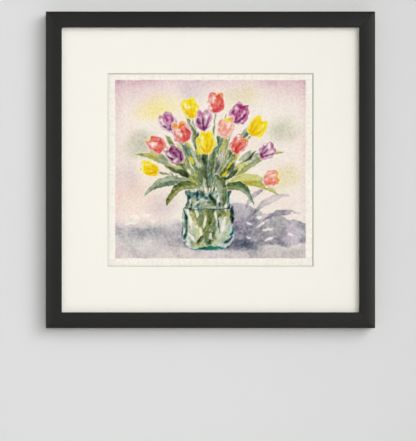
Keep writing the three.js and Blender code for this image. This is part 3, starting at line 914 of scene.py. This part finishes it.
def metal_finish(name, tint, rough):
    """Plated or bare steel with cloudy spangle, fine scratches and dulled hollows."""

    def build(tree):
        clouding = speckle(tree, 260, 4, 0.6)
        spangle = node(tree, "TexVoronoi", (("Vector", places(tree)), ("Scale", 700.0)))
        flake = node(tree, "SeparateColor", ((0, spangle.outputs["Color"]),)).outputs[0]
        scratch = speckle(tree, 500, 2, 0.5, places(tree, (1, 1, 14)))
        base = tinted(tree, flake, shade(tint, 0.86), tint)
        base = tinted(tree, times(tree, stepped(tree, clouding, 0.55, 0.75), 0.35), base,
                      shade(tint, 0.6))
        shine = plus(tree, times(tree, clouding, 0.22), rough - 0.08)
        return (
            ("Base Color", base),
            ("Metallic", 1.0),
            ("Roughness", plus(tree, shine, times(tree, scratch, 0.1))),
            ("Normal", bumped(tree, scratch, 0.01 * MM, 0.3)),
        )

    return finish(name, build)


def rubber_finish(settings):
    """Black rubber, finely pitted and dusty."""

    def build(tree):
        pits = speckle(tree, 1600, 3, 0.6)
        dust = speckle(tree, 240, 4, 0.6)
        return (
            ("Base Color", tinted(tree, stepped(tree, dust, 0.5, 0.8), settings.rubber,
                                  shade(settings.rubber, 2.6))),
            ("Roughness", plus(tree, times(tree, dust, 0.2), 0.72)),
            ("Normal", bumped(tree, pits, 0.05 * MM, 0.4)),
        )

    return finish("Pad rubber", build)


def glass_finish(settings):
    """Thin, low-glare glass: clear, with a mirror's share that rises towards grazing."""
    made = bpy.data.materials.new("Picture glass")
    made.use_nodes = True
    tree = made.node_tree
    tree.nodes.clear()
    clear = node(tree, "BsdfTransparent", (("Color", (*settings.glass, 1)),))
    mirror = node(tree, "BsdfAnisotropic", (("Color", (1, 1, 1, 1)), ("Roughness", 0.04)))
    edge_on = node(tree, "Fresnel", (("IOR", 1.14),)).outputs[0]
    pane = node(tree, "MixShader", ((0, edge_on), (1, clear.outputs[0]), (2, mirror.outputs[0])))
    out = node(tree, "OutputMaterial")
    tree.links.new(pane.outputs[0], out.inputs["Surface"])
    return made


# ---- Pieces ---------------------------------------------------------------------------------


def dress(name, material):
    """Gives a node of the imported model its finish."""
    piece = NODES[name]
    piece.data.materials.clear()
    piece.data.materials.append(material)
    return piece


def ease(piece, width, segments=2, angle=35):
    """Joins the piece's faces, rounds its hard edges a little and shades it smooth."""
    for attribute in [a for a in piece.data.attributes if a.name == "custom_normal"]:
        piece.data.attributes.remove(attribute)
    piece.data.shade_smooth()
    weld = piece.modifiers.new("Join faces", "WELD")
    weld.merge_threshold = 0.002 * MM
    bevel = piece.modifiers.new("Eased edges", "BEVEL")
    bevel.width = width
    bevel.segments = segments
    bevel.limit_method = "ANGLE"
    bevel.angle_limit = math.radians(angle)
    bevel.harden_normals = True
    return piece


# The sheet's cockle dies away over this distance from its edges.
FLAT_EDGE = 12 * MM


def sheet_grid(settings):
    """The sheet's grid lines: fine inside the painted area, and one step out to each paper edge."""
    low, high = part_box("artwork_sheet")
    middle = (low + high) / 2 + Vector((0, 0, settings.rise))
    spill = 3 * settings.step
    lines = []
    for axis, painted in (("x", settings.painted_width), ("z", settings.painted_height)):
        half = painted / 2 + spill
        count = round(2 * half / settings.step) + 1
        start, end = getattr(middle, axis) - half, getattr(middle, axis) + half
        inner = np.linspace(start, end, count)
        lines.append(np.concatenate([[getattr(low, axis)], inner, [getattr(high, axis)]]))
    return lines[0], lines[1], middle


def painted_sheet(settings):
    """Builds the sheet as one closed mesh, whose front points hold the painting's colours."""
    low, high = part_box("artwork_sheet")
    xs, zs, middle = sheet_grid(settings)
    columns, rows = len(xs), len(zs)
    x, z = np.meshgrid(xs, zs)
    height = settings.painted_height / settings.painted_width
    across = (x - middle.x) / settings.painted_width + 0.5
    up = (z - middle.z) / settings.painted_width + height / 2
    painting = paint(across, up, height)
    colours = np.ones((rows, columns, 4))
    colours[..., :3] = painting.colours(settings.paper)

    wave = cloud(across + 2, up + 2, 3, 5, 2) - 0.5
    edge = np.minimum(np.minimum(x - low.x, high.x - x), np.minimum(z - low.z, high.z - z))
    y = low.y + settings.cockle * wave * np.clip(edge / FLAT_EDGE, 0, 1)
    front = np.stack([x, y, z], -1).reshape(-1, 3)

    index = np.arange(rows * columns).reshape(rows, columns)
    rim = np.concatenate([index[0, :-1], index[:-1, -1], index[-1, :0:-1], index[:0:-1, 0]])
    behind = front[rim].copy()
    behind[:, 1] = high.y
    centre_point = [[middle.x, high.y, middle.z]]
    points = np.concatenate([front, behind, centre_point])

    a, b, c, d = index[:-1, :-1], index[:-1, 1:], index[1:, 1:], index[1:, :-1]
    quads = np.stack([a, b, c, d], -1).reshape(-1, 4)
    back = len(front) + np.arange(len(rim))
    following = np.roll(np.arange(len(rim)), -1)
    sides = np.stack([rim, back, back[following], rim[following]], -1)
    fan = np.stack([back, np.full(len(rim), len(points) - 1), back[following]], -1)

    mesh = bpy.data.meshes.new("painted_sheet")
    faces = [*quads.tolist(), *sides.tolist(), *fan.tolist()]
    mesh.from_pydata(points.tolist(), [], faces)
    smooth_faces = np.zeros(len(faces), bool)
    smooth_faces[:len(quads)] = True
    mesh.polygons.foreach_set("use_smooth", smooth_faces)
    bare = np.tile([*settings.paper, 1.0], (len(points) - len(front), 1))
    held = mesh.color_attributes.new("pigment", "FLOAT_COLOR", "POINT")
    held.data.foreach_set("color", np.concatenate([colours.reshape(-1, 4), bare]).ravel())
    mesh.materials.append(painted_finish(settings))
    sheet = bpy.data.objects.new("painted_sheet", mesh)
    bpy.context.scene.collection.objects.link(sheet)
    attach(sheet, "frame")
    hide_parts("artwork_sheet")
    return sheet


# ---- Stage ----------------------------------------------------------------------------------

# The floor's height, and how far the wall and the floor reach to each side.
FLOOR_Z = FRAME_LOW.z - 1.45
WALL_REACH = 3.0
FLOOR_REACH = 40.0
# The front light's place and where it aims, from the frame's middle.
FRONT_PLACE = (0.14, -2.4, 0.14)
FRONT_AIM = (-0.54, 0, -0.16)
# The way to the brighter side of the room.
BRIGHT_SIDE = (0.60, -0.40, 0.69)
CAMERA_DISTANCE = 1.8732
# The picture hangs a little right of the camera's line and above it.
CAMERA_LEFT = 3.2 * MM
CAMERA_DROP = 64.7 * MM


def stage_plane(name, corners, material):
    """A plain plane that isn't part of the object."""
    mesh = bpy.data.meshes.new(name)
    mesh.from_pydata(corners, [], [(0, 1, 2, 3)])
    mesh.materials.append(material)
    plane = bpy.data.objects.new(name, mesh)
    bpy.context.scene.collection.objects.link(plane)
    return plane


def wall_finish(settings):
    """Matt paint with a faint roller texture, seen only from the room's side."""
    made = finish("Wall paint", lambda tree: (
        ("Base Color", tinted(tree, speckle(tree, 5, 3, 0.5),
                              shade(settings.wall, 0.992), shade(settings.wall, 1.008))),
        ("Roughness", 0.95),
        ("Specular IOR Level", 0.1),
        ("Normal", bumped(tree, speckle(tree, 260, 3, 0.6), 0.1 * MM, 0.15)),
    ))
    tree = made.node_tree
    out = tree.nodes["Material Output"]
    front = out.inputs["Surface"].links[0].from_socket
    behind = node(tree, "NewGeometry").outputs["Backfacing"]
    clear = node(tree, "BsdfTransparent").outputs[0]
    both = node(tree, "MixShader", ((0, behind), (1, front), (2, clear)))
    tree.links.new(both.outputs[0], out.inputs["Surface"])
    return made


def add_wall(settings):
    """The wall behind the frame, which can be seen but keeps no light from it."""
    low, high = FLOOR_Z, FLOOR_Z + 2 * WALL_REACH
    left, right = -WALL_REACH, WALL_REACH
    corners = [(left, 0, low), (right, 0, low), (right, 0, high), (left, 0, high)]
    wall = stage_plane("stage_wall", corners, wall_finish(settings))
    wall.visible_shadow = False
    wall.visible_diffuse = False
    wall.visible_glossy = False
    wall.visible_transmission = False


def add_floor(settings):
    """A wide pale floor below the frame."""
    material = finish("Pale floor", lambda tree: (
        ("Base Color", tinted(tree, speckle(tree, 3, 3, 0.5),
                              shade(settings.floor, 0.98), settings.floor)),
        ("Roughness", 0.8),
    ))
    near, far = -FLOOR_REACH, FLOOR_REACH
    corners = [(x, y, FLOOR_Z) for x, y in ((near, near), (far, near), (far, far), (near, far))]
    stage_plane("stage_floor", corners, material)


def aim(obj, target):
    """Turns a light towards a place."""
    obj.rotation_mode = "QUATERNION"
    obj.rotation_quaternion = (Vector(target) - obj.location).to_track_quat("-Z", "Y")


def soft_light(name, away, rise, distance, radius, energy):
    """A round area light aimed at the frame's middle. away is its angle from the wall's normal
    and rise its height, both in degrees."""
    lamp = bpy.data.lights.new(name, "AREA")
    lamp.shape = "DISK"
    lamp.size = 2 * radius
    lamp.energy = energy
    obj = bpy.data.objects.new(name, lamp)
    side, up = math.radians(away), math.radians(rise)
    way = Vector((math.sin(side) * math.cos(up), -math.cos(side) * math.cos(up), math.sin(up)))
    obj.location = CENTRE + way * distance
    aim(obj, CENTRE)
    bpy.context.scene.collection.objects.link(obj)
    return obj


def add_world(settings):
    """A soft room that is brighter to the upper right and dimmer to the lower left."""
    world = bpy.data.worlds.new("Studio")
    world.use_nodes = True
    tree = world.node_tree
    way = node(tree, "TexCoord").outputs["Generated"]
    towards = node(tree, "VectorMath", ((0, way), (1, BRIGHT_SIDE)), operation="DOT_PRODUCT")
    strength = node(
        tree, "MapRange",
        (("Value", towards.outputs["Value"]), ("From Min", -0.6), ("From Max", 0.9),
         ("To Min", settings.room_low), ("To Max", settings.room_high)),
        interpolation_type="SMOOTHSTEP",
    ).outputs["Result"]
    tree.links.new(strength, tree.nodes["Background"].inputs["Strength"])
    tree.nodes["Background"].inputs["Color"].default_value = (1, 1, 1, 1)
    bpy.context.scene.world = world


def add_front_light(settings):
    """A wide soft spot near the camera's line, aimed left of the frame's middle."""
    lamp = bpy.data.lights.new("front_light", "SPOT")
    lamp.energy = settings.front_power
    lamp.shadow_soft_size = 0.30
    lamp.spot_size = math.radians(60)
    lamp.spot_blend = 1.0
    spot = bpy.data.objects.new("front_light", lamp)
    spot.location = CENTRE + Vector(FRONT_PLACE)
    aim(spot, CENTRE + Vector(FRONT_AIM))
    spot.visible_glossy = False
    bpy.context.scene.collection.objects.link(spot)


def add_sheen(name, away, energy):
    """A light at eye level that only shows as a soft gloss on the crown of the rails."""
    sheen = soft_light(name, away, 2, distance=4.0, radius=0.9, energy=energy)
    sheen.visible_diffuse = False


def add_lights(settings):
    """The room, and lights in front of the picture, at its sides and behind it."""
    add_world(settings)
    add_front_light(settings)
    key = soft_light("key_light", 35, 20, distance=6.0, radius=2.1, energy=settings.key_power)
    key.visible_glossy = False
    add_sheen("left_sheen", away=-30, energy=30)
    add_sheen("right_sheen", away=33, energy=60)
    soft_light("back_light", 150, 30, distance=3.0, radius=0.9, energy=34)
    soft_light("floor_light", 190, 52, distance=4.6, radius=1.8, energy=150)


def add_camera(settings):
    """A long lens that faces the wall squarely."""
    data = bpy.data.cameras.new("camera")
    data.lens = settings.lens
    data.clip_end = 100
    camera = bpy.data.objects.new("camera", data)
    camera.location = (CENTRE.x - CAMERA_LEFT, FACE_Y - CAMERA_DISTANCE, CENTRE.z - CAMERA_DROP)
    camera.rotation_euler = (math.pi / 2, 0, 0)
    bpy.context.scene.collection.objects.link(camera)
    bpy.context.scene.camera = camera
    bpy.context.scene.view_settings.view_transform = "Standard"


# ---- Operators ------------------------------------------------------------------------------


class PICTURE_OT_rails(bpy.types.Operator):
    """Finish the four mitred rails in satin black over wood"""

    bl_idname = "picture.rails"
    bl_label = "Finish Rails"

    def execute(self, context):
        settings = context.scene.picture_frame
        across = moulding_finish(settings, "Moulding grain across", (ALONG_GRAIN, *ACROSS_GRAIN))
        upright = moulding_finish(settings, "Moulding grain upright", (*ACROSS_GRAIN, ALONG_GRAIN))
        for name in RAILS:
            level = name in ("top_rail", "bottom_rail")
            ease(dress(name, across if level else upright), settings.rounding)
        return {"FINISHED"}


class PICTURE_OT_mitre_nails(bpy.types.Operator):
    """Finish the V-nails across the mitres"""

    bl_idname = "picture.mitre_nails"
    bl_label = "Finish V-nails"

    def execute(self, context):
        settings = context.scene.picture_hardware
        steel = metal_finish("Nail steel", settings.steel, STEEL_DULLNESS)
        for name in VNAILS:
            dress(name, steel)
        return {"FINISHED"}


class PICTURE_OT_glazing(bpy.types.Operator):
    """Finish the picture glass"""

    bl_idname = "picture.glazing"
    bl_label = "Finish Glass"

    def execute(self, context):
        dress("glazing", glass_finish(context.scene.picture_mount))
        return {"FINISHED"}


class PICTURE_OT_window_mat(bpy.types.Operator):
    """Finish the mat and its bevel-cut window"""

    bl_idname = "picture.window_mat"
    bl_label = "Finish Mat"

    def execute(self, context):
        dress("window_mat", mat_finish(context.scene.picture_mount))
        return {"FINISHED"}


class PICTURE_OT_painted_sheet(bpy.types.Operator):
    """Paint the watercolour and lay it in place"""

    bl_idname = "picture.painted_sheet"
    bl_label = "Paint Sheet"

    def execute(self, context):
        painted_sheet(context.scene.picture_painting)
        return {"FINISHED"}


class PICTURE_OT_boards(bpy.types.Operator):
    """Finish the undermount, the filler, the back board and the paper tapes"""

    bl_idname = "picture.boards"
    bl_label = "Finish Boards"

    def execute(self, context):
        settings = context.scene.picture_mount
        dress("undermount", paper_finish("Undermount board", settings.board))
        dress("filler_board", paper_finish("Foam board", settings.filler, 300))
        ease(dress("back_board", hardboard_finish(settings)), 0.25 * MM)
        for name in ("hinge_tab_left", "hinge_tab_right", "fold_tape"):
            dress(name, paper_finish("Gummed paper", settings.tape, 900))
        return {"FINISHED"}


class PICTURE_OT_turn_buttons(bpy.types.Operator):
    """Finish the turn buttons and their screws"""

    bl_idname = "picture.turn_buttons"
    bl_label = "Finish Turn Buttons"

    def execute(self, context):
        settings = context.scene.picture_hardware
        zinc = metal_finish("Zinc plate", settings.zinc, ZINC_DULLNESS)
        for place in BUTTON_PLACES:
            ease(dress("turn_button_" + place, zinc), settings.rounding)
            ease(dress("button_screw_" + place, zinc), settings.rounding)
        return {"FINISHED"}


class PICTURE_OT_hanger(bpy.types.Operator):
    """Finish the sawtooth hanger and its tacks"""

    bl_idname = "picture.hanger"
    bl_label = "Finish Hanger"

    def execute(self, context):
        settings = context.scene.picture_hardware
        zinc = metal_finish("Zinc plate", settings.zinc, ZINC_DULLNESS)
        steel = metal_finish("Nail steel", settings.steel, STEEL_DULLNESS)
        ease(dress("sawtooth_hanger", zinc), settings.rounding)
        for side in ("left", "right"):
            ease(dress("hanger_tack_" + side, steel), settings.rounding)
        return {"FINISHED"}


class PICTURE_OT_wall_pads(bpy.types.Operator):
    """Finish the rubber pads that keep the frame off the wall"""

    bl_idname = "picture.wall_pads"
    bl_label = "Finish Wall Pads"

    def execute(self, context):
        settings = context.scene.picture_hardware
        for side in ("left", "right"):
            ease(dress("wall_pad_" + side, rubber_finish(settings)), 0.3 * MM, 3, 25)
        return {"FINISHED"}


class PICTURE_OT_stage(bpy.types.Operator):
    """Set up the wall, floor, lights and camera"""

    bl_idname = "picture.stage"
    bl_label = "Set Stage"

    def execute(self, context):
        settings = context.scene.picture_stage
        add_wall(settings)
        add_floor(settings)
        add_lights(settings)
        add_camera(settings)
        return {"FINISHED"}


class PICTURE_PT_panel(bpy.types.Panel):
    """Lists the steps that finish the picture"""

    bl_label = "Framed Picture"
    bl_idname = "PICTURE_PT_panel"
    bl_space_type = "VIEW_3D"
    bl_region_type = "UI"
    bl_category = "Picture"

    def draw(self, context):
        for step in STEPS:
            self.layout.operator(step.bl_idname)


SETTINGS = {
    "picture_frame": FrameSettings,
    "picture_mount": MountSettings,
    "picture_painting": PaintingSettings,
    "picture_hardware": HardwareSettings,
    "picture_stage": StageSettings,
}
STEPS = (
    PICTURE_OT_rails,
    PICTURE_OT_mitre_nails,
    PICTURE_OT_glazing,
    PICTURE_OT_window_mat,
    PICTURE_OT_painted_sheet,
    PICTURE_OT_boards,
    PICTURE_OT_turn_buttons,
    PICTURE_OT_hanger,
    PICTURE_OT_wall_pads,
    PICTURE_OT_stage,
)


def register():
    """Adds the settings, operators and panel."""
    for cls in (*SETTINGS.values(), *STEPS, PICTURE_PT_panel):
        bpy.utils.register_class(cls)
    for name, group in SETTINGS.items():
        setattr(bpy.types.Scene, name, bpy.props.PointerProperty(type=group))


def unregister():
    """Takes them away again."""
    for name in SETTINGS:
        delattr(bpy.types.Scene, name)
    for cls in reversed((*SETTINGS.values(), *STEPS, PICTURE_PT_panel)):
        bpy.utils.unregister_class(cls)


def main():
    """Runs every step in order."""
    register()
    for step in STEPS:
        group, name = step.bl_idname.split(".")
        if getattr(getattr(bpy.ops, group), name)() != {"FINISHED"}:
            raise RuntimeError(f"{step.bl_label} did not finish")


if __name__ == "__main__":
    main()
